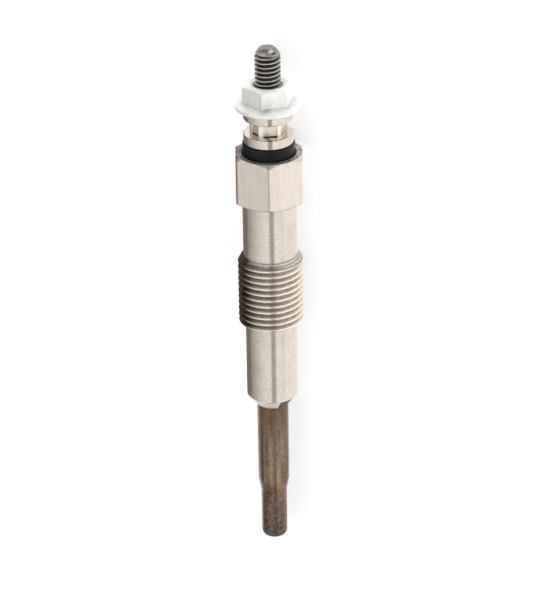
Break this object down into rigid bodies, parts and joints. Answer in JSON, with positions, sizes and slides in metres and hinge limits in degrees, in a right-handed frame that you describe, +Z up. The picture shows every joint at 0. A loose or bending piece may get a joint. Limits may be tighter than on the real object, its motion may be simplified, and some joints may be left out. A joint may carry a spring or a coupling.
{
  "type": "diesel glow plug",
  "caption": "Sheathed-element diesel glow plug: stepped heating tube in a threaded hexagon body, with an insulated centre rod, crimped contact ring and threaded terminal with flange nut.",
  "frame": {"origin": "middle of the overall length, on the surface that the hexagon's lowest flat rests on", "axes": "+X along the plug's axis from the glow tube's tip to the terminal, +Z up from the flat it lies on"},
  "size_m": [0.0834, 0.0116, 0.01],
  "materials": {
    "body_nickel": "satin nickel plate on turned steel",
    "sheath_alloy": "heat-resisting alloy, drawn and heat-tinted brown",
    "bush_moulding": "black satin moulding",
    "ring_nickel": "satin nickel plate on turned steel",
    "nut_zinc": "bright zinc plate, slightly blue",
    "rod_steel": "plain steel, dulled, with light worn thread crests",
    "seal_rubber": "black rubber",
    "heating_alloy": "bright resistance wire",
    "control_nickel": "bright nickel wire",
    "magnesia": "white compacted powder"
  },
  "bodies": {
    "root": {"housing": "body_nickel", "sheath_tube": "sheath_alloy", "insulating_bush": "bush_moulding", "contact_ring": "ring_nickel", "terminal_nut": "nut_zinc", "terminal_rod": "rod_steel", "seal_ring": "seal_rubber", "tube_seal": "seal_rubber", "heating_coil": "heating_alloy", "control_coil": "control_nickel", "insulating_powder": "magnesia"}
  },
  "joints": []
}
